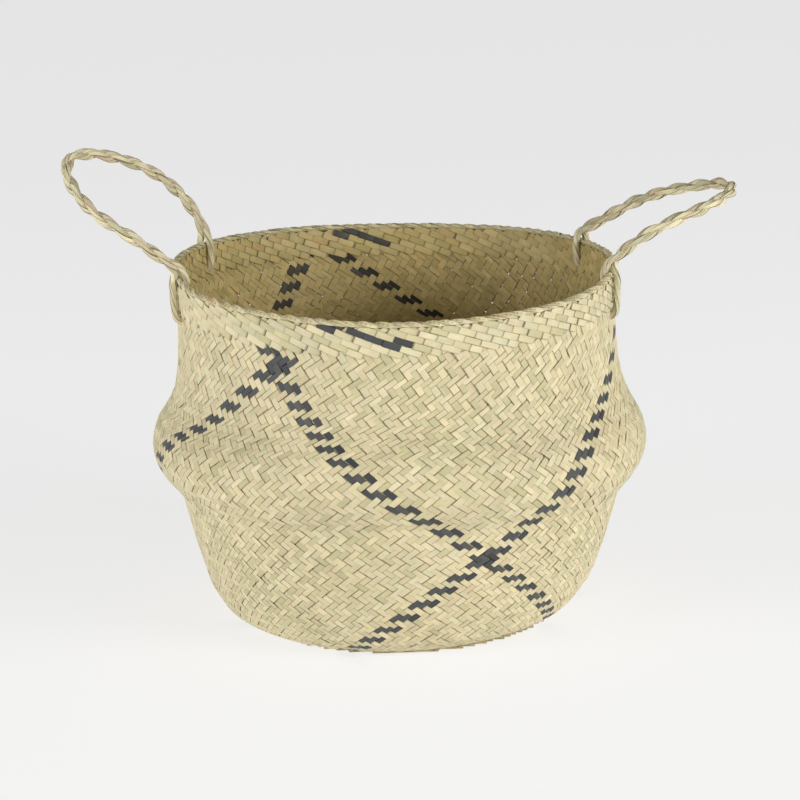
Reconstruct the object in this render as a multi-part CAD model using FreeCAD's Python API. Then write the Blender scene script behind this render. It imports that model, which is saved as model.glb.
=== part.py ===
import FreeCAD, Part
import math
import os

Vector = FreeCAD.Vector
ORIGIN = Vector(0, 0, 0)
UP = Vector(0, 0, 1)

# ---------------------------------------------------------------- driving dimensions, mm
# The basket stands on z = 0 with its axis on Z. The handles are near -X and +X, and the
# outlines below are of the outer surface, as (radius, height).
base_radius = 134.0            # the flat bottom
corner_radius = 153.0          # where the bottom has turned up into the side
corner_height = 13.0
lower_radius = 176.0           # side of the lower half, halfway up
lower_height = 68.0
crease_radius = 187.0          # the fold under the belly
crease_height = 116.0
belly_radius = 210.0           # the widest ring
belly_height = 156.0
underside_radius = 203.0       # the belly's underside, and its top above the same radius
underside_drop = 23.0
shoulder_radius = 191.5        # where the belly has turned back into the upper side
shoulder_height = 199.0
neck_radius = 185.0            # the narrowest ring of the upper side
neck_height = 236.0
rim_radius = 187.0             # outside of the plaited edge
rim_height = 292.0             # top of the plaited edge
collar_slope = 0.04            # how much the rim leans outwards: radius per height

wall = 2.6                     # two layers of plaited strips
seam_clearance = 0.2           # bottom to side
fold_clearance = 0.6           # lower half to upper half at the crease
fold_overlap = 5.0             # how far the upper half hangs down past the crease

plait_cover = 0.2              # how far the plaited edge stands out over the rim bands
band_height = 22.0             # strips turned down over the rim, outside and inside
band_wall = 1.3
band_clearance = 0.2           # band to wall, and band to plaited edge

strand_radius = 2.3            # one of the two strands of a handle's rope
strand_clearance = 0.1         # strand to plaited edge
eyelet_clearance = 0.5         # strand to the eyelet that it passes through
eyelet_gap = 1.0               # rim band to eyelet
rope_radius = 4.8              # the two strands twisted together
rope_clearance = 2.0           # rope end to the strand loop that it grows from

# Where each rope leaves the rim: angle about Z from +X, in degrees
leg_angles = {
    "left_front": 198.0, "left_back": 150.5,
    "right_front": -15.5, "right_back": 28.5,
}

# A rope's route between its two legs. Along: share of half the distance between the legs,
# from the front leg at -1 to the back leg at +1. Outwards and upwards: mm from the hinge line.
left_route = [
    (-1.08, 12, 18), (-1.15, 26, 32), (-1.18, 45, 45), (-1.11, 65, 57), (-0.93, 82, 71),
    (-0.65, 95, 85), (-0.33, 96, 95), (-0.01, 80, 93), (0.26, 60, 84), (0.50, 40, 71),
    (0.68, 24, 55), (0.82, 13, 38), (0.93, 4, 19),
]
right_route = [
    (-1.14, 11, 13), (-1.23, 27, 26), (-1.25, 51, 37), (-1.17, 78, 45), (-0.94, 99, 50),
    (-0.67, 110, 53), (-0.37, 104, 54), (-0.05, 86, 48), (0.25, 65, 41), (0.50, 45, 31),
    (0.72, 27, 18), (0.86, 14, 8),
]

# ---------------------------------------------------------------- what follows from them
plait_radius = wall / 2 + band_clearance + band_wall + plait_cover
plait_height = rim_height - plait_radius
plait_circle = rim_radius - plait_radius            # also the middle of the wall up there
band_top = rim_height - 2 * plait_radius - band_clearance
band_bottom = band_top - band_height
eyelet_radius = strand_radius + eyelet_clearance
eyelet_height = band_bottom - eyelet_gap - eyelet_radius
collar_height = eyelet_height - 2 * eyelet_radius   # above it the wall is straight


def collar_radius(height):
    """Radius of the middle of the wall, where the wall is straight."""
    return plait_circle + collar_slope * (height - plait_height)


# ---------------------------------------------------------------- profiles in the XZ plane
def rz(radius, height):
    return Vector(radius, 0, height)


def moved_inwards(points, thickness):
    moved = []
    for i, point in enumerate(points):
        along = points[min(i + 1, len(points) - 1)] - points[max(i - 1, 0)]
        along.normalize()
        moved.append(point + Vector(-along.z, 0, along.x) * thickness)
    return moved


def smooth_edge(points):
    curve = Part.BSplineCurve()
    curve.interpolate(points)
    return curve.toShape()


def ring_from(edges):
    """A closed outline in the XZ plane, turned once about Z."""
    face = Part.Face(Part.Wire(Part.__sortEdges__(edges)))
    return face.revolve(ORIGIN, UP, 360)


def skin_between(outer, inner):
    """A ring between two rows of points, each joined smoothly."""
    ends = [Part.makeLine(outer[0], inner[0]), Part.makeLine(outer[-1], inner[-1])]
    return ring_from([smooth_edge(outer), smooth_edge(inner)] + ends)


def straight_skin(bottom, top, inner_offset, outer_offset):
    """A ring along the straight collar, between two offsets from the wall's middle."""
    corners = []
    for height, offset in ((bottom, inner_offset), (bottom, outer_offset),
                           (top, outer_offset), (top, inner_offset)):
        corners.append(rz(collar_radius(height) + offset, height))
    return ring_from(Part.makePolygon(corners + corners[:1]).Edges)


# ---------------------------------------------------------------- the woven shell
def woven_base():
    return Part.makeCylinder(base_radius - seam_clearance, wall)


def lower_wall():
    outer = [rz(base_radius, 0), rz(corner_radius, corner_height),
             rz(lower_radius, lower_height), rz(crease_radius, crease_height)]
    inner = moved_inwards(outer, wall)
    inner[0] = rz(base_radius, wall)
    return skin_between(outer, inner)


def upper_shell():
    """The belly and the upper side in one piece, before it is divided at the shoulder."""
    fold_radius = crease_radius + fold_clearance + wall
    outer = [
        rz(fold_radius, crease_height - fold_overlap),
        rz(underside_radius, belly_height - underside_drop),
        rz(belly_radius, belly_height),
        rz(underside_radius, belly_height + underside_drop),
        rz(shoulder_radius, shoulder_height),
        rz(neck_radius, neck_height),
        rz(collar_radius(collar_height) + wall / 2, collar_height),
    ]
    inner = moved_inwards(outer, wall)
    inner[0] = rz(fold_radius - wall, crease_height - fold_overlap)
    inner[-1] = rz(collar_radius(collar_height) - wall / 2, collar_height)
    shaped = skin_between(outer, inner)
    collar = straight_skin(collar_height, band_top, -wall / 2, wall / 2)
    return shaped.fuse(collar).removeSplitter()


def slice_between(low, high):
    """A disc wider than the basket, from one height to another."""
    return Part.makeCylinder(2 * belly_radius, high - low, rz(0, low))


def belly():
    return upper_shell().common(slice_between(0, shoulder_height))


def upper_wall():
    shell = upper_shell().common(slice_between(shoulder_height, rim_height))
    for angle in leg_angles.values():
        shell = shell.cut(eyelet(angle))
    return shell


def outer_band():
    start = wall / 2 + band_clearance
    return straight_skin(band_bottom, band_top, start, start + band_wall)


def inner_band():
    start = wall / 2 + band_clearance
    return straight_skin(band_bottom, band_top, -start - band_wall, -start)


def plaited_edge():
    return Part.makeTorus(plait_circle, plait_radius, Vector(0, 0, plait_height), UP)


# ---------------------------------------------------------------- the rope handles
strand_offset = plait_radius + strand_clearance + strand_radius
lean = Vector(collar_slope, 0, 1).normalize()       # up the wall, at angle 0
across = Vector(lean.z, 0, -lean.x)                 # outwards through the wall
eyelet_distance = (plait_height - eyelet_height) / lean.z
straight_strand = eyelet_distance - strand_offset
leg_lift = strand_offset + strand_radius + rope_clearance + rope_radius


def placed(shape, angle):
    copy = shape.copy()
    copy.rotate(ORIGIN, UP, angle)
    return copy


def plait_centre():
    return rz(plait_circle, plait_height)


def eyelet(angle):
    start = plait_centre() - lean * eyelet_distance - across * 4 * wall
    return placed(Part.makeCylinder(eyelet_radius, 8 * wall, start, across), angle)


def strand_loop(angle):
    """Both strands of a rope's end: down each side of the rim, and joined through the eyelet."""
    top = plait_centre()
    bottom = top - lean * straight_strand
    sideways = lean.cross(across)
    pieces = []
    for side in (-1, 1):
        foot = bottom + across * side * strand_offset
        pieces.append(Part.makeCylinder(strand_radius, straight_strand, foot, lean))
    for centre, turn in ((top, 1), (bottom, -1)):
        section = Part.Face(Part.Wire(
            Part.makeCircle(strand_radius, centre + across * strand_offset, lean)))
        pieces.append(section.revolve(centre, sideways * -turn, 180))
    loop = pieces[0].multiFuse(pieces[1:]).removeSplitter()
    return placed(loop, angle)


def leg_point(leg):
    """Where a rope starts, just above its strand loop."""
    point = plait_centre() + lean * leg_lift
    angle = math.radians(leg_angles[leg])
    return Vector(point.x * math.cos(angle), point.x * math.sin(angle), point.z)


def hinge_line(side):
    front = leg_point(side + "_front")
    back = leg_point(side + "_back")
    return front, back


def route_points(side, route):
    front, back = hinge_line(side)
    middle = (front + back) * 0.5
    half = (back - front) * 0.5
    outwards = UP.cross(half).normalize()
    if outwards.dot(middle) < 0:
        outwards = -outwards
    points = [front]
    for along, out, up in route:
        points.append(middle + half * along + outwards * out + UP * up)
    return points + [back]


def rounded_path(points):
    """Straight runs joined by tangent arcs, each as large as its two runs allow."""
    edges = []
    last = points[0]
    for before, corner, after in zip(points, points[1:], points[2:]):
        back = before - corner
        ahead = after - corner
        trim = 0.45 * min(back.Length, ahead.Length)
        back.normalize()
        ahead.normalize()
        start = corner + back * trim
        end = corner + ahead * trim
        half_turn = (math.pi - back.getAngle(ahead)) / 2
        radius = trim / math.tan(half_turn)
        sagitta = radius * (1 / math.cos(half_turn) - 1)
        crown = corner + (back + ahead).normalize() * sagitta
        edges.append(Part.makeLine(last, start))
        edges.append(Part.Arc(start, crown, end).toShape())
        last = end
    edges.append(Part.makeLine(last, points[-1]))
    return Part.Wire(edges)


def rope(side, route):
    points = route_points(side, route)
    path = rounded_path(points)
    section = Part.Wire(Part.makeCircle(rope_radius, points[0], points[1] - points[0]))
    tube = path.makePipeShell([section], True, True)
    ends = [Part.makeSphere(rope_radius, point) for point in (points[0], points[-1])]
    radii = [edge.Curve.Radius for edge in path.Edges if hasattr(edge.Curve, "Radius")]
    print("%s rope: length %.0f, smallest arc %.0f" % (side, path.Length, min(radii)))
    print("   volume over section times length: %.3f"
          % (tube.Volume / (math.pi * rope_radius ** 2 * path.Length)))
    return tube.multiFuse(ends).removeSplitter()


# ---------------------------------------------------------------- the nodes
nodes = {
    "woven_base": woven_base(),
    "lower_wall": lower_wall(),
    "belly": belly(),
    "upper_wall": upper_wall(),
    "rim_band_outer": outer_band(),
    "rim_band_inner": inner_band(),
    "plaited_edge": plaited_edge(),
    "left_handle_rope": rope("left", left_route),
    "right_handle_rope": rope("right", right_route),
}
for leg, leg_angle in leg_angles.items():
    nodes[leg + "_strand_loop"] = strand_loop(leg_angle)

os.makedirs("parts", exist_ok=True)
for name, shape in nodes.items():
    if shape.ShapeType != "Solid" and len(shape.Solids) == 1:
        shape = shape.Solids[0]
    print("%-24s volume %9.0f  solids %d  valid %s"
          % (name, shape.Volume, len(shape.Solids), shape.isValid()))
    shape.exportStep("parts/%s.step" % name)

for side in ("left", "right"):
    front, back = hinge_line(side)
    print("%s hinge from (%.3f, %.3f, %.3f) to (%.3f, %.3f, %.3f)"
          % (side, front.x, front.y, front.z, back.x, back.y, back.z))
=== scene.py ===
"""Looks of the woven market basket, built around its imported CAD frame.

Lengths here are millimetres until a mesh is made. Angles around the basket are measured
from the front (-Y) towards the right (+X), and s is the distance up the wall along its
profile. A strip that climbs to the right as it is seen from outside has lean +1, and one
that climbs to the left has lean -1.
"""

import math

import bpy
import numpy as np
from mathutils import Matrix, Vector


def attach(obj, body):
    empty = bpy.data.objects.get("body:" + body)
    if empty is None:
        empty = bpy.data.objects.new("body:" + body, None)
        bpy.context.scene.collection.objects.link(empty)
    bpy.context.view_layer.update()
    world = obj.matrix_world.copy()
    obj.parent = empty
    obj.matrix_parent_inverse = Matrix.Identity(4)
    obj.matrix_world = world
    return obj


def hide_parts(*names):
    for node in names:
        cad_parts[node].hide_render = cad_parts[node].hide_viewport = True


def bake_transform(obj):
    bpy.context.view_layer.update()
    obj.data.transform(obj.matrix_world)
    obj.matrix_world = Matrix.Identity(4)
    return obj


MM = 0.001

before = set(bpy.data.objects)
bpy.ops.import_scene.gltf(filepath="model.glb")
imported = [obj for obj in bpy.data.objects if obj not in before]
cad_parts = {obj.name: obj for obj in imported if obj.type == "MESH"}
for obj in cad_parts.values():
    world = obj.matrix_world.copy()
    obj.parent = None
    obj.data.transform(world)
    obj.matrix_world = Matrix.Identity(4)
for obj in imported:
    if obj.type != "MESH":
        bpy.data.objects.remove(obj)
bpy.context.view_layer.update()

# ---------------------------------------------------------------- sizes
# The middle of the wall's thickness, from the inside edge of the base to the rim
PROFILE = (
    (123, 1.4), (131, 1.4), (150, 12), (164, 34), (175, 68), (182, 95), (186, 113),
    (196, 124), (206, 139), (210, 156), (206, 172), (197, 186), (190.6, 199),
    (187.0, 218), (186.3, 240), (187.0, 262), (189.0, 288),
)
# How far the front and back stand above the sides: (height, half the difference)
SADDLE = ((0, 0), (113, 8.5), (156, 9), (262, 0), (300, 0))
# How much wider the basket is from front to back than across: (height, share)
OVAL = ((0, 0), (150, 0.004), (200, 0.008), (290, 0.022))
# The belly stands higher on the left: (height, mm)
BELLY_LEFT_LIFT = ((50, 0), (100, 8), (170, 6), (205, 0))
# The bottom sits a little to the left: (height, mm)
FOOT_SHIFT = ((0, 4), (50, 0))
# The rim is a rounded oblong rather than an oval, and isn't level. In mm
RIM_SQUARENESS = 1.5
RIM_LEFT_PINCH = 0.04  # a share of its width there
RIM_LIFT = 6.0
RIM_LEFT_LIFT = 4.5
RIM_SIDE_LIFT = 4.0
RIM_BACK_LIFT = 0.8
RIM_SHAPE_FROM = 190.0  # below this height the wall has none of the rim's shape
RIM_SHAPE_FULL = 285.0

# The hand-made wall's waves, in mm. They fade out towards the bottom and the rim
WIDE_WAVE = 0.9
NARROW_WAVE = 0.6
HEIGHT_WAVE = 1.2
WAVES_FULL = 60.0
HEIGHT_WAVES_GONE = 250.0

STRIPS = 168  # strips that lean each way
FLOATS = 51  # a strip passes over two and under two; floats between base and rim
COVER = 0.995  # a strip's width as a share of its spacing
STRIP_THICKNESS = 0.9
CROSSING_LIFT = 0.55  # how far a strip's centre rides above or below the wall's middle

# The dyed strips, by number, three side by side in each run
DYED_RISING = (159, 160, 161, 106, 107, 108, 40, 41, 42)
DYED_FALLING = (29, 30, 31, 140, 141, 142, 86, 87, 88)

RIM_RADIUS = 184.0
BAND_BOTTOM = 266.5
BAND_TOP = 287.0
PLAIT_HEIGHT = 289.0
PLAIT_RADIUS = 3.0

# Where each rope leaves the rim, in the row frame
HINGES = {
    "left": ((-175.546, -57.038, 303.488), (-160.650, 90.891, 303.488)),
    "right": ((177.866, -49.327, 303.488), (162.212, 88.074, 303.488)),
}
# A rope's route: share of half the distance between its legs, then outwards and upwards
ROUTES = {
    "left": (
        (-1.08, 12, 18), (-1.15, 26, 32), (-1.18, 45, 45), (-1.11, 65, 57),
        (-0.93, 82, 71), (-0.65, 95, 85), (-0.33, 96, 95), (-0.01, 80, 93),
        (0.26, 60, 84), (0.50, 40, 71), (0.68, 24, 55), (0.82, 13, 38), (0.93, 4, 19),
    ),
    "right": (
        (-1.14, 11, 13), (-1.23, 27, 26), (-1.25, 51, 37), (-1.17, 78, 45),
        (-0.94, 99, 50), (-0.67, 110, 53), (-0.37, 104, 54), (-0.05, 86, 48),
        (0.25, 65, 41), (0.50, 45, 31), (0.72, 27, 18), (0.86, 14, 8),
    ),
}


# ---------------------------------------------------------------- the wall's surface
def table(pairs):
    """A function that interpolates between the pairs."""
    xs, ys = np.array(pairs, float).T
    return lambda x: np.interp(x, xs, ys)


def smoothed(values, window):
    padded = np.pad(values, window // 2, mode="reflect", reflect_type="odd")
    return np.convolve(padded, np.ones(window) / window, mode="valid")


def running_total(steps):
    return np.concatenate([[0.0], np.cumsum(steps)])


def lengths_along(points):
    return running_total(np.linalg.norm(np.diff(points, axis=0), axis=1))


def sampled_profile():
    """Radius, height and distance along the wall, every millimetre or so."""
    corners = np.array(PROFILE, float)
    distance = lengths_along(corners)
    s = np.linspace(0, distance[-1], int(distance[-1]))
    line = np.stack([np.interp(s, distance, corners[:, i]) for i in (0, 1)], -1)
    for _ in range(3):
        line = np.stack([smoothed(line[:, i], 9) for i in (0, 1)], -1)
    return line[:, 0], line[:, 1], lengths_along(line)


LINE_R, LINE_Z, LINE_S = sampled_profile()
WALL_LENGTH = LINE_S[-1]
saddle = table(SADDLE)
oval = table(OVAL)
belly_left_lift = table(BELLY_LEFT_LIFT)
foot_shift = table(FOOT_SHIFT)


def wall_height_to_s(height):
    return float(np.interp(height, LINE_Z, LINE_S))


def wall_place(angle, s):
    """The point on the middle of the wall at an angle in radians and a distance s."""
    r = np.interp(s, LINE_S, LINE_R)
    z = np.interp(s, LINE_S, LINE_Z)
    swing = np.cos(2 * angle)
    hand_made = np.clip(z / WAVES_FULL, 0, 1)
    r = r * (1 + oval(z) * swing)
    r = r + hand_made * (WIDE_WAVE * np.sin(3 * angle + 0.7 + z / 90)
                         + NARROW_WAVE * np.sin(7 * angle + 2.0 - z / 45))
    near_rim = np.clip((z - RIM_SHAPE_FROM) / (RIM_SHAPE_FULL - RIM_SHAPE_FROM), 0, 1)
    r = r - near_rim * RIM_SQUARENESS * np.cos(4 * angle)
    x = r * np.sin(angle) - foot_shift(z)
    leftness = (1 - np.sin(angle)) / 2
    y = -r * np.cos(angle) * (1 - RIM_LEFT_PINCH * near_rim * leftness)
    rim_lift = (RIM_LIFT - RIM_LEFT_LIFT * np.sin(angle) - RIM_SIDE_LIFT * swing
                - RIM_BACK_LIFT * np.cos(angle))
    fading = np.clip((HEIGHT_WAVES_GONE - z) / WAVES_FULL, 0, 1)
    waves = hand_made * fading * HEIGHT_WAVE * np.sin(5 * angle + z / 70)
    belly_lift = belly_left_lift(z) * leftness ** 2
    z = z + saddle(z) * swing + belly_lift + near_rim * rim_lift + waves
    return np.stack([x, y, z], -1)


def on_wall(angle, s, height):
    """As wall_place, standing off the wall by height, outwards where it is above 0."""
    point = wall_place(angle, s)
    small = 0.01
    around = wall_place(angle + small, s) - wall_place(angle - small, s)
    up = wall_place(angle, s + 1) - wall_place(angle, s - 1)
    normal = np.cross(around, up)
    normal /= np.maximum(np.linalg.norm(normal, axis=-1, keepdims=True), 1e-9)
    return point + normal * np.asarray(height)[..., None]


# ---------------------------------------------------------------- the weave's lattice
# How far the weave has drifted round the basket: (s, strips)
DRIFT = table(((0, 1.5), (60, 2.1), (140, 2.3), (180, 2.8), (210, 2.6), (250, 0.3), (320, -3.4)))
# How many floats lie below a place on the wall, which is made a little uneven: (s, floats)
FLOATS_BELOW = ((0, 0), (40, 6.8), (80, 13.7), (110, 19.5), (140, 24.6), (170, 28.1),
                (210, 33.8), (250, 40.8), (325, FLOATS))
# The strips at the front are spread wider below the belly: (s, share)
SPREAD = table(((0, 0.17), (130, 0.17), (200, 0.0)))


def climb_table():
    """Floats below each sample of the wall's line, without corners."""
    climb = table(FLOATS_BELOW)(LINE_S)
    for _ in range(3):
        climb = smoothed(climb, 25)
    climb -= climb[0]
    return climb * FLOATS / climb[-1]


LINE_CLIMB = climb_table()


def lattice_place(across, climb):
    """Angle and s of a place in the weave. Both are counted in strips."""
    s = np.interp(climb, LINE_CLIMB, LINE_S)
    turn = 2 * math.pi * (across - DRIFT(s)) / STRIPS
    return turn + SPREAD(s) / 2 * np.sin(2 * turn), s


# A strip's section: across, as a share of half its width, and up, of its thickness
SECTION = np.array([(-1, 0), (-0.8, 0.38), (0.8, 0.38), (1, 0), (0.8, -0.38), (-0.8, -0.38)])
EDGES = np.array([1.0, 0, 0, 1, 0, 0])  # which of its points are the strip's two edges
INWARD = np.array([0.5, 0, 0, 0.5, 1, 1])  # and which face into the basket, to be given the inside's painted shade


def uneven(rng, count, amount):
    """Small random offsets, and the widths that strips then have to fill the wall."""
    offset = rng.uniform(-amount, amount, count)
    width = 1 + (np.roll(offset, -1) - np.roll(offset, 1)) / 2
    return offset, width


rng = np.random.default_rng(11)
FLAT_SHARE = 0.44  # a float lies flat over this share of a crossing strip's half
EDGE_SHADE = 0.22  # painted shade along a strip's edges, for the dark lines between strips
DIP_SHADES = (0.25, 1.0)  # painted shade, from and to, where a strip goes through the wall
CLIMB_START = 0.25  # of a float, where the strips' ends meet the base
CROWN = 0.14  # how far a float's middle stands over its ends
STRIP_OFFSET = 0.13  # the strips' random unevenness, in strips
STRIP_WANDER = 0.03
STRIP_LIFT = 0.05  # and in mm
STRIP_TILT = 0.15
OFFSETS = {lean: uneven(rng, STRIPS, STRIP_OFFSET) for lean in (1, -1)}


def wall_strips(lean, numbers, rng):
    """The strips with these numbers, as strips x stations x section x 3, and how much painted
    shade each point gets, from 0 to 1: most where the strip goes through the wall to its next
    float, a little along its edges. A float has four stations: its two ends, its crown between
    them, and the place where it goes through the wall to its next float."""
    own = np.asarray(numbers)[:, None]
    turn = np.arange(FLOATS)[None, :]
    fade = np.clip(np.minimum(turn, FLOATS - 1 - turn) / 3, 0, 1)
    own_offset, own_width = OFFSETS[lean]
    other_offset, other_width = OFFSETS[-lean]
    centre = own + own_offset[own % STRIPS] * fade

    def crossing(step, share):
        """Where the strip meets the edge of a crossing strip, share of its width along."""
        other = own + lean * (2 * turn + step)
        return (other + other_offset[other % STRIPS] * fade
                + lean * share * other_width[other % STRIPS])

    stations = np.stack([crossing(0, -FLAT_SHARE), crossing(0, 0.5),
                         crossing(1, FLAT_SHARE), crossing(1, 0.5)], -1)
    over = np.where((turn % 2 == 0) == (lean > 0), 1.0, -1.0) + 0.0 * own
    lift = CROSSING_LIFT * over + rng.normal(0, STRIP_LIFT, over.shape)
    height = np.stack([lift, lift + CROWN * over, lift, 0 * lift], -1)
    wander = rng.normal(0, STRIP_WANDER, over.shape)
    tilt = rng.normal(0, STRIP_TILT, over.shape)

    def spread(values):
        """One value for each float, given to its four stations."""
        return np.repeat(values, 4, axis=1)[..., None]

    shape = (len(own), -1)
    stations = stations.reshape(shape)[..., None]
    height = height.reshape(shape)[..., None]
    half = spread(own_width[own % STRIPS] * COVER / 2 * np.ones_like(over))
    side = spread(centre + wander) + half * SECTION[:, 0]
    across = (side + stations) / 2
    climb = np.clip(lean * (stations - side) / 2 + CLIMB_START, 0, FLOATS)
    angle, s = lattice_place(across, climb)
    height = height + STRIP_THICKNESS * SECTION[:, 1] + spread(tilt) * SECTION[:, 0]
    dips = rng.uniform(*DIP_SHADES, over.shape)[..., None] * np.array([0, 0, 0, 1.0])
    painted_shade = np.maximum(dips.reshape(shape)[..., None], EDGE_SHADE * EDGES)
    return on_wall(angle, s, height), painted_shade


# ---------------------------------------------------------------- meshes of ribbons
CREASE_ANGLE = math.radians(24)  # a sharper edge than this isn't shaded smooth
MAP_MARGIN = 0.005  # left free at both ends of a ribbon's lane in the baked map
LANE_FILL = 0.92
CAP_WIDTH = 0.0012
LONGEST_SHIFT = 900.0  # ribbons take their fibres from different places, in mm


def ribbon_quads(stations, around):
    """Which station and which point of its section each corner of each side face is."""
    along = np.arange(stations - 1)[:, None, None] + np.array([0, 0, 1, 1])
    across = np.arange(around)[None, :, None] + np.array([0, 1, 1, 0])
    return np.broadcast_arrays(along, across)


def cap_corners(around, x, y, lane):
    """Where a ribbon's end face lies in the baked map: a small ring in its own lane."""
    turn = 2 * math.pi * np.arange(around) / around
    return np.stack([x + CAP_WIDTH * np.cos(turn), y + 0.3 * lane * np.sin(turn)], -1)


def baked_corners(along, across, around, distance, number, lane):
    """The baked map's corners: each ribbon has a lane from end to end of the map."""
    share = MAP_MARGIN + (1 - 2 * MAP_MARGIN) * distance / distance[-1]
    margin = (1 - LANE_FILL) / 2
    y = lane * (number + margin + LANE_FILL * across / around)
    middle = lane * (number + 0.5)
    return [np.stack([share[along].reshape(-1), y.reshape(-1)], -1),
            cap_corners(around, MAP_MARGIN / 2, middle, lane)[::-1],
            cap_corners(around, 1 - MAP_MARGIN / 2, middle, lane)]


def laid_corners(along, across, around, distance, girth, shift):
    """The fibres' corners, in mm along and round the ribbon."""
    x = distance[along].reshape(-1) + shift
    y = (girth * across / around).reshape(-1)
    cap = np.stack([np.full(around, shift), np.linspace(0, girth, around)], -1)
    return [np.stack([x, y], -1), cap, cap]


def ribbon_mesh(name, ribbons, material, rng, shade_amounts=None, inward=INWARD, edge=EDGE_SHADE):
    """One object from closed ribbons, each given as stations x section x 3, in mm. The argument
    after rng says how much painted shade each point of each ribbon gets; without it a ribbon's
    two edges get as much painted shade as edge says. inward says which points of the section
    face into the basket, which get the inside's painted shade."""
    verts, faces, baked, laid = [], [], [], []
    tone, hue, painted_shade, inner = [], [], [], []
    total = 0
    lane = 1 / len(ribbons)
    for number, points in enumerate(ribbons):
        stations, around, _ = points.shape
        along, across = ribbon_quads(stations, around)
        quads = (total + along * around + across % around).reshape(-1, 4)
        start = total + np.arange(around)
        end = start + (stations - 1) * around
        distance = lengths_along(points.mean(1))
        middle = points[stations // 2]
        girth = np.linalg.norm(middle - np.roll(middle, -1, 0), axis=1).sum()
        shift = rng.uniform(0, LONGEST_SHIFT)
        verts.append(points.reshape(-1, 3))
        faces += quads.tolist() + [start[::-1].tolist(), end.tolist()]
        baked += baked_corners(along, across, around, distance, number, lane)
        laid += laid_corners(along, across, around, distance, girth, shift)
        tone.append(np.full(stations * around, rng.normal(0, 1)))
        hue.append(np.full(stations * around, rng.uniform()))
        flat = around == len(SECTION)
        edges = np.tile(edge * EDGES if flat else np.zeros(around), stations)
        painted_shade.append(edges if shade_amounts is None else shade_amounts[number].ravel())
        inner.append(np.tile(inward if flat else np.zeros(around), stations))
        total += stations * around
    verts = np.concatenate(verts) * MM
    mesh = bpy.data.meshes.new(name)
    mesh.from_pydata(verts.tolist(), [], faces)
    for layer_name, corners in (("OFBake", baked), ("Laid", laid)):
        layer = mesh.uv_layers.new(name=layer_name)
        layer.uv.foreach_set("vector", np.concatenate(corners).astype(np.float32).ravel())
    for attribute_name, values in (("tone", tone), ("hue", hue), ("painted_shade", painted_shade),
                                   ("inner", inner)):
        made = mesh.attributes.new(attribute_name, "FLOAT", "POINT")
        made.data.foreach_set("value", np.concatenate(values).astype(np.float32))
    if signed_volume(verts, faces) < 0:
        mesh.flip_normals()
    mesh.shade_smooth()
    mesh.set_sharp_from_angle(angle=CREASE_ANGLE)
    mesh.materials.append(material)
    obj = bpy.data.objects.new(name, mesh)
    bpy.context.scene.collection.objects.link(obj)
    return obj


def signed_volume(verts, faces):
    """Above 0 where the faces point outwards."""
    quads = np.array([face for face in faces if len(face) == 4])
    p, q, r, t = (verts[quads[:, i]] for i in range(4))
    first = np.einsum("ij,ij->i", p, np.cross(q, r)).sum()
    return first + np.einsum("ij,ij->i", p, np.cross(r, t)).sum()


# ---------------------------------------------------------------- materials
def add_node(tree, kind, **inputs):
    """A shader node with some of its inputs linked or set. An _ in a name is a space."""
    made = tree.nodes.new("ShaderNode" + kind)
    for key, value in inputs.items():
        name = key.replace("_", " ")
        if isinstance(value, bpy.types.NodeSocket):
            tree.links.new(value, made.inputs[name])
        else:
            made.inputs[name].default_value = value
    return made


def mapped(tree, value, low, high):
    made = add_node(tree, "MapRange", Value=value, To_Min=low, To_Max=high)
    return made.outputs["Result"]


def times(tree, first, second):
    made = tree.nodes.new("ShaderNodeMath")
    made.operation = "MULTIPLY"
    for socket, value in zip(made.inputs, (first, second)):
        if isinstance(value, bpy.types.NodeSocket):
            tree.links.new(value, socket)
        else:
            socket.default_value = value
    return made.outputs[0]


def attribute(tree, name):
    made = tree.nodes.new("ShaderNodeAttribute")
    made.attribute_name = name
    return made.outputs["Fac"]


def linear(srgb):
    """A colour as the eye picks it, 0 to 255, made linear for a shader."""
    scaled = np.array(srgb, float) / 255
    low, high = scaled / 12.92, ((scaled + 0.055) / 1.055) ** 2.4
    return (*np.where(scaled < 0.04045, low, high), 1.0)


def colour_ramp(tree, value, stops):
    made = add_node(tree, "ValToRGB", Fac=value)
    elements = made.color_ramp.elements
    while len(elements) < len(stops):
        elements.new(0.5)
    for element, (position, colour) in zip(elements, stops):
        element.position = position
        element.color = linear(colour)
    return made.outputs["Color"]


INSIDE_SHADE_TINT = (230, 217, 178)  # painted shade: the faces inside the basket are made darker and browner, for the shade and warm bounce light inside it
OUTSIDE_TINT = (255, 255, 255)
DEEP_SHADE = 0.3  # how bright the painted shade leaves the darkest places
MOTTLE = (0.84, 1.14)  # how bright the small blotches make the straw, from and to
AGEING = (0.93, 1.06)  # and the large patches
FIBRE_SCALE = (0.035, 1.5, 1)  # for each mm, along a strip and across it
BLOTCH_SCALE = 85.0  # for each m
PATCH_SCALE = 9.0
FIBRE_BUMP = 0.35
FIBRE_HEIGHT = 0.0005  # in m


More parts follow.
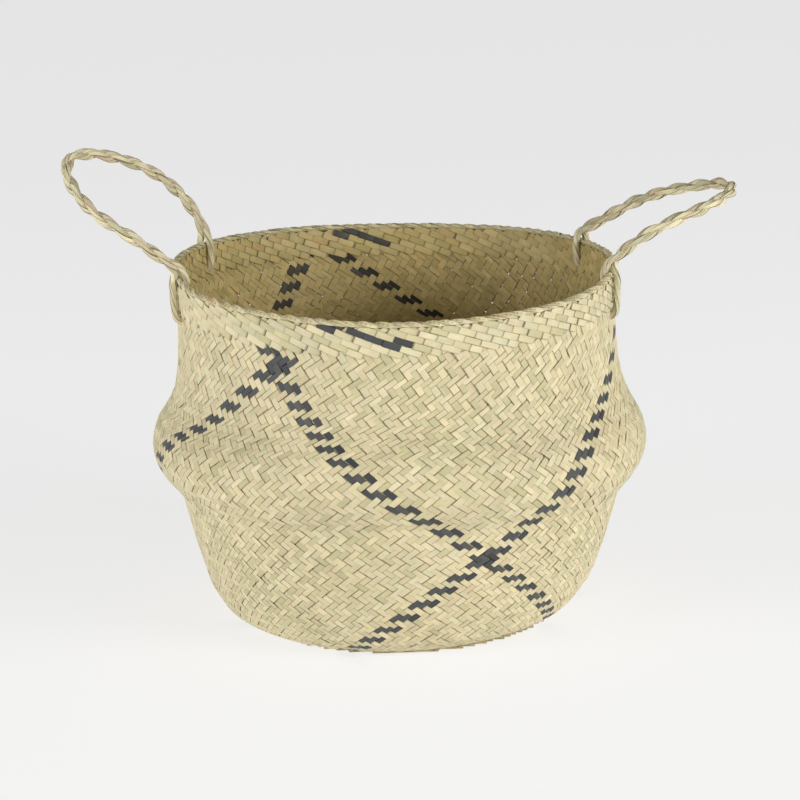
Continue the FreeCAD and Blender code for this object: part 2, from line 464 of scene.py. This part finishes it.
def fibre_material(name, stops, tone_depth, streak_depth, roughness, specular):
    """Dried grass: each strip has its own tint from the stops, with fine fibres along it and
    blotches. Painted shade darkens the strips' edges and the places where they go through the
    weave, and the faces inside the basket are painted darker and browner for the shade and warm
    bounce light there."""
    material = bpy.data.materials.new(name)
    material.use_nodes = True
    tree = material.node_tree
    shader = tree.nodes["Principled BSDF"]

    laid = add_node(tree, "UVMap")
    laid.uv_map = "Laid"
    stretched = add_node(tree, "Mapping", Vector=laid.outputs["UV"], Scale=FIBRE_SCALE)
    fibres = add_node(tree, "TexNoise", Vector=stretched.outputs["Vector"],
                      Scale=1.0, Detail=3.0, Roughness=0.6)
    place = tree.nodes.new("ShaderNodeTexCoord").outputs["Object"]
    blotches = add_node(tree, "TexNoise", Vector=place, Scale=BLOTCH_SCALE, Detail=2.0)
    patches = add_node(tree, "TexNoise", Vector=place, Scale=PATCH_SCALE, Detail=1.0)

    tint = colour_ramp(tree, attribute(tree, "hue"), stops)
    light = mapped(tree, attribute(tree, "tone"), 1 - tone_depth / 2, 1 + tone_depth / 2)
    streaks = mapped(tree, fibres.outputs["Fac"], 1 - streak_depth, 1 + streak_depth)
    mottle = mapped(tree, blotches.outputs["Fac"], *MOTTLE)
    ageing = mapped(tree, patches.outputs["Fac"], *AGEING)
    strength = times(tree, times(tree, light, streaks), times(tree, mottle, ageing))
    # Painted shade: darker along strips' edges, where strips go through the wall, and at the
    # band floats' lower ends
    shade = mapped(tree, attribute(tree, "painted_shade"), 1.0, DEEP_SHADE)
    strength = times(tree, strength, shade)
    # Painted shade and bounce light: the faces inside the basket are made darker and browner
    inside_shade_tint = colour_ramp(tree, attribute(tree, "inner"),
                              ((0.0, OUTSIDE_TINT), (1.0, INSIDE_SHADE_TINT)))
    tinted = add_node(tree, "VectorMath")
    tinted.operation = "MULTIPLY"
    tree.links.new(tint, tinted.inputs[0])
    tree.links.new(inside_shade_tint, tinted.inputs[1])
    shaded = add_node(tree, "VectorMath")
    shaded.operation = "SCALE"
    tree.links.new(tinted.outputs[0], shaded.inputs[0])
    tree.links.new(strength, shaded.inputs["Scale"])
    tree.links.new(shaded.outputs[0], shader.inputs["Base Color"])

    rough = mapped(tree, fibres.outputs["Fac"], roughness - 0.1, roughness + 0.12)
    tree.links.new(rough, shader.inputs["Roughness"])
    bump = add_node(tree, "Bump", Strength=FIBRE_BUMP, Distance=FIBRE_HEIGHT,
                    Height=fibres.outputs["Fac"])
    tree.links.new(bump.outputs["Normal"], shader.inputs["Normal"])
    shader.inputs["Specular IOR Level"].default_value = specular
    return material


STRAW = fibre_material(
    "plaited_straw",
    ((0.0, (193, 186, 144)), (0.25, (209, 197, 157)), (0.5, (214, 200, 160)),
     (0.75, (220, 208, 172)), (0.9, (205, 199, 161)), (1.0, (212, 190, 153))),
    tone_depth=0.12, streak_depth=0.14, roughness=0.55, specular=0.4)
RIM_STRAW = fibre_material(
    "rim_straw",
    ((0.0, (196, 188, 144)), (0.3, (212, 200, 158)), (0.6, (218, 206, 168)),
     (0.85, (208, 202, 164)), (1.0, (212, 191, 154))),
    tone_depth=0.10, streak_depth=0.12, roughness=0.52, specular=0.45)
ROPE_STRAW = fibre_material(
    "twisted_rope",
    ((0.0, (182, 180, 146)), (0.3, (206, 198, 162)), (0.6, (218, 208, 172)),
     (0.85, (216, 202, 167)), (1.0, (210, 191, 158))),
    tone_depth=0.16, streak_depth=0.28, roughness=0.55, specular=0.4)
DYED = fibre_material(
    "dyed_straw",
    ((0.0, (52, 53, 54)), (0.5, (66, 68, 70)), (1.0, (78, 78, 74))),
    tone_depth=0.2, streak_depth=0.25, roughness=0.5, specular=0.5)


def make_wall():
    for lean, dyed, word in ((1, DYED_RISING, "rising"), (-1, DYED_FALLING, "falling")):
        plain = [n for n in range(STRIPS) if n not in dyed]
        half = len(plain) // 2
        groups = (("a", plain[:half], STRAW, "plaited_straw"),
                  ("b", plain[half:], STRAW, "plaited_straw"),
                  ("dyed", sorted(dyed), DYED, "dyed_straw"))
        for label, numbers, material, slot_name in groups:
            points, painted_shade = wall_strips(lean, numbers, rng)
            piece = ribbon_mesh("%s_strips_%s" % (word, label), list(points), material, rng,
                                shade_amounts=painted_shade)
            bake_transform(piece)
    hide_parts("lower_wall", "belly", "upper_wall")


# ---------------------------------------------------------------- the base
BASE_RADIUS = 133.0
BASE_SPACING = 5.0
BASE_LEVEL = 1.5
BASE_FLAT = 1.8  # half of what lies flat over one crossing strip
BASE_WANDER = 0.12
BASE_LIFT_SHARE = 0.9  # how much of CROSSING_LIFT the base's strips have
FEWEST_CROSSINGS = 3


def make_base():
    """Two sets of flat strips, square to each other, cut round."""
    count = int(BASE_RADIUS / BASE_SPACING)
    ribbons = []
    for direction in (0, 1):
        for n in range(-count, count + 1):
            place = n * BASE_SPACING
            reach = math.sqrt(BASE_RADIUS ** 2 - place ** 2)
            crossings = np.arange(-math.floor(reach / BASE_SPACING),
                                  math.floor(reach / BASE_SPACING) + 1)
            if len(crossings) < FEWEST_CROSSINGS:
                continue
            over = ((crossings + n) % 4 < 2) == (direction == 0)
            height = np.repeat(np.where(over, CROSSING_LIFT, -CROSSING_LIFT), 2)
            flat = np.array([-BASE_FLAT, BASE_FLAT])
            along = (crossings[:, None] * BASE_SPACING + flat).ravel()
            wander = np.repeat(rng.normal(0, BASE_WANDER, len(crossings)), 2)
            across = place + wander[:, None] + SECTION[:, 0] * BASE_SPACING * COVER / 2
            along = along[:, None] + 0 * across
            lift = height[:, None] * BASE_LIFT_SHARE
            up = BASE_LEVEL + lift + STRIP_THICKNESS * SECTION[:, 1]
            axes = (along, across) if direction == 0 else (across, along)
            ribbons.append(np.stack([axes[0], axes[1], up], -1))
    piece = ribbon_mesh("base_strips", ribbons, STRAW, rng)
    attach(piece, "lower_half")
    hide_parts("woven_base")


# ---------------------------------------------------------------- the rim bands
CHIP = 14.5  # a long strip's float, along itself
CHIP_SLOPE = math.radians(20)
CROSS_SLOPE = math.radians(65)
ROW = CHIP * math.sin(CHIP_SLOPE)  # how tall one row of floats is
CROSS_STEP = ROW / math.sin(CROSS_SLOPE)
BAND_COUNT = 74  # floats in one row
BAND_LIFT = 1.6  # from the wall's middle to the band's
BAND_ROWS = (BAND_TOP - BAND_BOTTOM) / ROW
STAGGER = 0.5  # of a float, between a long strip and the next
CHIP_THICKNESS = 0.8 * STRIP_THICKNESS
SHINGLE = 0.2  # how far a float's lower edge stands out over its neighbour
# A float's sizes, in floats along its strip and in strips across it
CHIP_LENGTH = 0.97
CHIP_HALF = 0.51  # half its width
AT_START = np.array([0.02, 0.06])  # its first two stations, from its start
AT_END = np.array([-0.06, 0.09])  # and its last two, from its end
FOOT_BELOW = 0.3  # how far below the band the strips are tucked in
FOOT_RAGGED = 0.15  # more or less
FOOT_REACH = 0.35  # a float that ends this near its strip's foot ends there instead
SHORTEST_LAST = 0.3  # and is at least this long
LOWEST_START = 0.1  # a float that would start lower than this in the band is left out
# The lifts of its stations in mm, and of the last two where the strip is tucked in
CHIP_LIFTS = np.array([0.15, 0.42, 0.36, 0.25, -0.4])
TUCKED_LIFTS = (0.1, -0.7)
TUCKED_HALF = 0.12
# How much painted shade a float's five stations get: its lower end, where it dips under the
# next, is painted dark
CHIP_SHADE = np.array([0.1, 0.0, 0.0, 0.1, 1.0])
# The dyed floats: (number of the long strip, row from the top)
OUTER_DYED = ((0, 0), (1, 0), (1, 1), (1, 2), (2, 2))
INNER_DYED = ((38, 0), (38, 1), (38, 2), (37, 0))


def band_place(p, q, hand):
    """Angle and s of a place in a band: p counts floats and q counts long strips."""
    step = CHIP * math.cos(CHIP_SLOPE) + CROSS_STEP * math.cos(CROSS_SLOPE)
    x = p * CHIP * math.cos(CHIP_SLOPE) + q * CROSS_STEP * math.cos(CROSS_SLOPE)
    y = (q - p) * ROW
    angle = hand * x * 2 * math.pi / (BAND_COUNT * step)
    return angle, wall_height_to_s(BAND_BOTTOM) + y


def chip_start(q, row):
    """How many floats along its strip a float starts, in the lattice of the band."""
    return q - BAND_ROWS + row + STAGGER * (q % 2 - 0.5)


def band_chip(q, row, hand, side, rng):
    """One float of a long strip: its upper end lies over the last float, and its lower
    end dips under the next. The floats of neighbours are staggered. At the foot of the
    band the strip is tucked in, to a point."""
    start = chip_start(q, row) + rng.normal(0, 0.03)
    foot = q + FOOT_BELOW + rng.uniform(-FOOT_RAGGED, FOOT_RAGGED)
    end = start + CHIP_LENGTH
    lifts = CHIP_LIFTS + rng.normal(0, 0.05)
    half = np.full(len(lifts), CHIP_HALF * (1 + rng.normal(0, 0.04)))
    if end > foot - FOOT_REACH:
        end = max(foot, start + SHORTEST_LAST)
        lifts[3:] = TUCKED_LIFTS
        half[4] = TUCKED_HALF
    stops = np.concatenate([start + AT_START, [(start + end) / 2], end + AT_END])
    twist = rng.normal(0, 0.03)
    p = stops[:, None]
    across = q + rng.normal(0, 0.03) + twist * (p - start) + half[:, None] * SECTION[:, 0]
    angle, s = band_place(p + 0 * across, across, hand)
    tilt = SHINGLE + rng.normal(0, 0.06)
    height = lifts[:, None] + CHIP_THICKNESS * SECTION[:, 1] - tilt * SECTION[:, 0]
    return on_wall(angle, np.minimum(s, WALL_LENGTH), side * (BAND_LIFT + height))


def make_band(name, side, hand, dyed, node):
    """A band outside the wall (side 1) or inside it (side -1). Its floats are numbered to
    the right as it is seen from outside (hand 1), or to the left (hand -1)."""
    plain, dark = [], []
    for q in range(BAND_COUNT):
        for row in range(math.ceil(BAND_ROWS)):
            if chip_start(q, row) - q > -LOWEST_START:
                continue
            kept = dark if (q, row) in dyed else plain
            kept.append(band_chip(q, row, hand, side, rng))
    # Painted shade at the floats' lower ends and along their edges
    shade_amounts = [np.maximum(CHIP_SHADE[:, None], EDGE_SHADE * EDGES)] * len(plain)
    inward = INWARD if side > 0 else 1 - INWARD
    piece = ribbon_mesh(name + "_strips", plain, RIM_STRAW, rng, shade_amounts, inward)
    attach(piece, "upper_half")
    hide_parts(node)
    dyed_piece = ribbon_mesh(name + "_dyed_strips", dark, DYED, rng, shade_amounts, inward)
    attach(dyed_piece, "upper_half")


# ---------------------------------------------------------------- the plaited edge
WRAP_COUNT = 96
WRAP_LENGTH = 24.0
WRAP_WIDTH = 5.6
WRAP_START = math.radians(-70)  # from straight up, outwards
WRAP_END = math.radians(105)
WRAP_SINK = 0.6  # how far its strips lie below the edge's outline
# Painted shade along the wraps' edges
WRAP_EDGE_SHADE = 0.8
WRAP_SPREAD = 0.18  # the wraps' random unevenness, in wraps round the rim
WRAP_WIDTH_SPREAD = 0.1  # as a share of the width
WRAP_LIFT_SPREAD = 0.18  # and in mm
CORE_SINK = 0.5  # how far its round core lies below them
# A wrap's half width, as a share, and its lift in mm, at even steps along it
WRAP_TAPER = np.array([0.6, 0.9, 1, 1, 1, 1, 0.9, 0.6])
WRAP_LIFT = np.array([-0.5, 0.1, 0.45, 0.55, 0.5, 0.3, 0.0, -0.7])


def rim_place(angle, lean, lift):
    """A point on the round edge of the rim, lean radians outwards from its top."""
    centre = wall_place(angle, WALL_LENGTH)
    outwards = np.stack([np.sin(angle), -np.cos(angle), np.zeros_like(angle)], -1)
    upwards = np.array([0, 0, 1.0])
    direction = (np.cos(lean)[..., None] * upwards + np.sin(lean)[..., None] * outwards)
    rise = PLAIT_HEIGHT - PROFILE[-1][1]
    return centre + upwards * rise + direction * (PLAIT_RADIUS - WRAP_SINK + lift)[..., None]


def rim_wrap(number, rng):
    """A flat strip wound over the rim, sloping down to the right outside."""
    share = np.linspace(0, 1, len(WRAP_LIFT))[:, None]
    slope = math.atan2(PLAIT_RADIUS * (WRAP_END - WRAP_START), WRAP_LENGTH)
    half = WRAP_WIDTH / 2 * (1 + rng.normal(0, WRAP_WIDTH_SPREAD)) * WRAP_TAPER[:, None]
    across = half * SECTION[:, 0]
    x = WRAP_LENGTH * (share - 0.5) - across * math.sin(slope)
    lean = (WRAP_START + share * (WRAP_END - WRAP_START)
            + across * math.cos(slope) / PLAIT_RADIUS)
    place = number + rng.normal(0, WRAP_SPREAD)
    angle = 2 * math.pi * place / WRAP_COUNT + x / RIM_RADIUS
    lift = (WRAP_LIFT[:, None] + rng.normal(0, WRAP_LIFT_SPREAD)
            + CHIP_THICKNESS * SECTION[:, 1])
    return rim_place(angle, lean, lift)


def make_plaited_edge():
    ribbons = [rim_wrap(number, rng) for number in range(WRAP_COUNT)]
    angle = np.linspace(0, 2 * math.pi, 361)[:, None]
    ring = np.linspace(0, 2 * math.pi, 9)[None, :-1]
    angle, ring = np.broadcast_arrays(angle, ring)
    ribbons.append(rim_place(angle, ring, np.full(angle.shape, -CORE_SINK)))
    piece = ribbon_mesh("plaited_edge_wraps", ribbons, RIM_STRAW, rng, edge=WRAP_EDGE_SHADE)
    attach(piece, "upper_half")
    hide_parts("plaited_edge")


# ---------------------------------------------------------------- the rope handles
ROPE_PITCH = 46.0  # one whole turn of the two strands
STRAND_OUT = 2.3  # from the rope's centre to a strand's
LEG_OUT = 5.6  # the same beside the rim
BLADES = 5  # flat blades of grass in a strand
BLADE_OUT = 2.25
BLADE_HALF = 1.95  # half a blade's width
BLADE_THICKNESS = 1.1
BLADE_PITCH = 62.0
# The blades' waves along a strand: how much, and mm for each radian
TURN_WAVE = (0.25, 13)  # in radians round the strand
OUT_WAVE = (0.12, 17)  # in mm
WIDTH_WAVE = (0.15, 29)  # as a share of the width
CORE = 2.2  # the radius of the strand's core
# Painted shade along the blades' edges, for dark lines between them
ROPE_EDGE_SHADE = 1.0
ROPE_STEP = 1.6  # between the points of a rope's line
STRAND_STEP = 1.5
OVER_RIM = 11.0  # a hinge point stands at least this far over the wall's top
# A strand beside the rim, from the hinge down: (share of LEG_OUT, mm below the hinge)
LEG = ((0.50, 1), (0.72, 5), (0.92, 9.5), (1.02, 14.5), (0.98, 22), (0.92, 32),
       (0.86, 38), (0.62, 42.5), (0.25, 44.5), (-0.1, 45))
INNER_REACH = 0.72  # the strand inside goes into the wall sooner, as a share of the outer's


def nurbs_line(points):
    """Points read from a smooth NURBS curve that these points control."""
    curve = bpy.data.curves.new("route", "CURVE")
    curve.dimensions = "3D"
    curve.resolution_u = 24
    spline = curve.splines.new("NURBS")
    spline.points.add(len(points) - 1)
    for point, place in zip(spline.points, points):
        point.co = (*place, 1)
    spline.order_u = 3
    spline.use_endpoint_u = True
    holder = bpy.data.objects.new("route", curve)
    bpy.context.scene.collection.objects.link(holder)
    bpy.context.view_layer.update()
    mesh = bpy.data.meshes.new_from_object(holder)
    line = np.array([v.co for v in mesh.vertices], float)
    bpy.data.objects.remove(holder)
    bpy.data.curves.remove(curve)
    bpy.data.meshes.remove(mesh)
    return line


def even_line(line, step):
    distance = lengths_along(line)
    at = np.linspace(0, distance[-1], max(int(distance[-1] / step), 4))
    return np.stack([np.interp(at, distance, line[:, i]) for i in range(3)], -1)


def carried_frames(line, first):
    """Unit tangents, and two normals carried along the line without twisting."""
    tangents = np.gradient(line, axis=0)
    tangents /= np.linalg.norm(tangents, axis=1, keepdims=True)
    normals = []
    normal = np.array(first, float)
    for tangent in tangents:
        normal = normal - tangent * (normal @ tangent)
        normal = normal / np.linalg.norm(normal)
        normals.append(normal)
    normals = np.array(normals)
    return tangents, normals, np.cross(tangents, normals)


def outward_at(point):
    flat = np.array([point[0], point[1], 0.0])
    return flat / np.linalg.norm(flat)


def leg_line(hinge, side_sign):
    """A strand's line from a hinge point down beside the rim and into the wall."""
    outward = outward_at(hinge)
    reach = 1.0 if side_sign > 0 else INNER_REACH
    return np.array([hinge + outward * side_sign * LEG_OUT * out
                     - np.array([0, 0, down * reach]) for out, down in LEG])


def at_rim(hinge):
    """A hinge point moved in or out to stand over the middle of the rim."""
    angle = math.atan2(hinge[0], -hinge[1])
    rim = wall_place(np.array(angle), WALL_LENGTH)
    return np.array([rim[0], rim[1], max(hinge[2], rim[2] + OVER_RIM)])


def rope_line(side):
    front, back = (np.array(point) for point in HINGES[side])
    middle, half = (front + back) / 2, (back - front) / 2
    outwards = np.cross([0, 0, 1.0], half)
    outwards /= np.linalg.norm(outwards)
    if outwards @ middle < 0:
        outwards = -outwards
    route = [middle + half * along + outwards * out + np.array([0, 0, up])
             for along, out, up in ROUTES[side]]
    return even_line(nurbs_line([at_rim(front), *route, at_rim(back)]), ROPE_STEP)


def strand_line(line, side_sign):
    """One strand of a two-strand rope, with both its ends led down beside the rim."""
    _, normals, binormals = carried_frames(line, outward_at(line[0]))
    distance = lengths_along(line)
    last = outward_at(line[-1])
    end_turn = math.atan2(last @ binormals[-1], last @ normals[-1])
    turns = round((distance[-1] / ROPE_PITCH) - end_turn / (2 * math.pi))
    turn = (end_turn + 2 * math.pi * turns) * distance / distance[-1]
    turn = turn + (0 if side_sign > 0 else math.pi)
    wound = line + STRAND_OUT * (np.cos(turn)[:, None] * normals
                                 + np.sin(turn)[:, None] * binormals)
    front = leg_line(line[0], side_sign)
    back = leg_line(line[-1], side_sign)
    whole = even_line(np.concatenate([front[::-1], wound[2:-2], back]), STRAND_STEP)
    for _ in range(2):
        whole = np.stack([smoothed(whole[:, i], 5) for i in range(3)], -1)
    return whole


def strand_blades(line, rng):
    """The flat blades of grass that one strand is twisted from, round a thin core."""
    tangents, normals, binormals = carried_frames(line, outward_at(line[0]))
    distance = lengths_along(line)
    ring = np.linspace(0, 2 * math.pi, 8, endpoint=False)
    core = (np.cos(ring)[None, :, None] * normals[:, None, :]
            + np.sin(ring)[None, :, None] * binormals[:, None, :])
    ribbons = [line[:, None, :] + CORE * core]

    def wave(amount, length):
        """A wave along the strand, which starts anywhere."""
        return amount * np.sin(distance / length + rng.uniform(0, 6))

    for blade in range(BLADES):
        share = blade / BLADES - distance / BLADE_PITCH
        turn = 2 * math.pi * share + wave(*TURN_WAVE)
        direction = np.cos(turn)[:, None] * normals + np.sin(turn)[:, None] * binormals
        sideways = np.cross(tangents, direction)
        out = BLADE_OUT + wave(*OUT_WAVE)
        middle = line + direction * out[:, None]
        half = (BLADE_HALF * (1 + wave(*WIDTH_WAVE)))[:, None, None]
        ribbons.append(middle[:, None, :] + sideways[:, None, :] * half * SECTION[:, 0:1]
                       + direction[:, None, :] * BLADE_THICKNESS * SECTION[:, 1:2])
    return ribbons


def make_handle(side):
    line = rope_line(side)
    ribbons = []
    for side_sign in (1, -1):
        ribbons += strand_blades(strand_line(line, side_sign), rng)
    piece = ribbon_mesh(side + "_rope_strands", ribbons, ROPE_STRAW, rng,
                        edge=ROPE_EDGE_SHADE)
    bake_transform(piece)
    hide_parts(side + "_handle_rope", side + "_front_strand_loop",
                side + "_back_strand_loop")


# ---------------------------------------------------------------- camera, floor and lights
CAMERA_ELEVATION = math.radians(15)
CAMERA_ROLL = math.radians(-1.9)
CAMERA_DISTANCE = 2.5
CAMERA_TARGET = Vector((0.0019, 0, 0.1801))
SENSOR_WIDTH = 36.0
FOCAL_LENGTH = 132.525  # in mm, on that sensor
FLOOR_REACH = 12
FLOOR_GREY = 0.3
FLOOR_GLOW = 0.68
HORIZON = 0.76  # the sky's strength low down
OVERHEAD = 0.17  # and from SKY_TOP up
SKY_TOP = 0.6
BASKET_MIDDLE = (0, 0, 0.15)
# Name, place in m, width and height in m, and watts
LIGHTS = (
    ("key", (2.15, -1.5, 1.1), (1.5, 0.9), 44),
    ("fill", (-2.15, -1.3, 0.95), (1.5, 0.9), 29),
    ("front", (0.2, -2.8, 0.9), (1.4, 0.8), 5),
)


def make_camera():
    data = bpy.data.cameras.new("camera")
    data.sensor_width = SENSOR_WIDTH
    data.lens = FOCAL_LENGTH
    data.clip_end = 100
    camera = bpy.data.objects.new("camera", data)
    bpy.context.scene.collection.objects.link(camera)
    backwards = Vector((0, -math.cos(CAMERA_ELEVATION), math.sin(CAMERA_ELEVATION)))
    right = Vector((1, 0, 0))
    up = backwards.cross(right)
    turned_right = right * math.cos(CAMERA_ROLL) + up * math.sin(CAMERA_ROLL)
    turned_up = up * math.cos(CAMERA_ROLL) - right * math.sin(CAMERA_ROLL)
    turned = Matrix((turned_right, turned_up, backwards)).transposed().to_4x4()
    place = CAMERA_TARGET + backwards * CAMERA_DISTANCE
    camera.matrix_world = Matrix.Translation(place) @ turned
    bpy.context.scene.camera = camera


def make_floor():
    mesh = bpy.data.meshes.new("floor")
    corners = [(x * FLOOR_REACH, y * FLOOR_REACH, 0)
               for x, y in ((-1, -1), (1, -1), (1, 1), (-1, 1))]
    mesh.from_pydata(corners, [], [(0, 1, 2, 3)])
    floor = bpy.data.objects.new("floor", mesh)
    bpy.context.scene.collection.objects.link(floor)
    material = bpy.data.materials.new("floor")
    material.use_nodes = True
    shader = material.node_tree.nodes["Principled BSDF"]
    shader.inputs["Base Color"].default_value = (FLOOR_GREY, FLOOR_GREY, FLOOR_GREY, 1)
    shader.inputs["Emission Color"].default_value = (1, 1, 1, 1)
    shader.inputs["Emission Strength"].default_value = FLOOR_GLOW
    shader.inputs["Roughness"].default_value = 0.9
    mesh.materials.append(material)


def area_light(name, place, target, size, power):
    """A soft light of that width and height, pointed at the target."""
    data = bpy.data.lights.new(name, "AREA")
    data.shape = "RECTANGLE"
    data.size, data.size_y = size
    data.energy = power
    light = bpy.data.objects.new(name, data)
    bpy.context.scene.collection.objects.link(light)
    light.location = place
    direction = Vector(target) - Vector(place)
    light.rotation_euler = direction.to_track_quat("-Z", "Y").to_euler()


def make_lights():
    world = bpy.data.worlds.new("world")
    world.use_nodes = True
    sky = world.node_tree
    background = sky.nodes["Background"]
    background.inputs["Color"].default_value = (1, 1, 1, 1)
    direction = sky.nodes.new("ShaderNodeTexCoord").outputs["Generated"]
    height = add_node(sky, "SeparateXYZ", Vector=direction).outputs["Z"]
    level = add_node(sky, "MapRange", Value=height, From_Min=0.0, From_Max=SKY_TOP,
                     To_Min=HORIZON, To_Max=OVERHEAD)
    sky.links.new(level.outputs["Result"], background.inputs["Strength"])
    bpy.context.scene.world = world
    for name, place, size, power in LIGHTS:
        area_light(name, place, BASKET_MIDDLE, size, power)
    bpy.context.scene.view_settings.view_transform = "Standard"


make_camera()
make_floor()
make_lights()
make_wall()
make_base()
make_band("outer_band", 1, 1, OUTER_DYED, "rim_band_outer")
make_band("inner_band", -1, -1, INNER_DYED, "rim_band_inner")
make_plaited_edge()
make_handle("left")
make_handle("right")
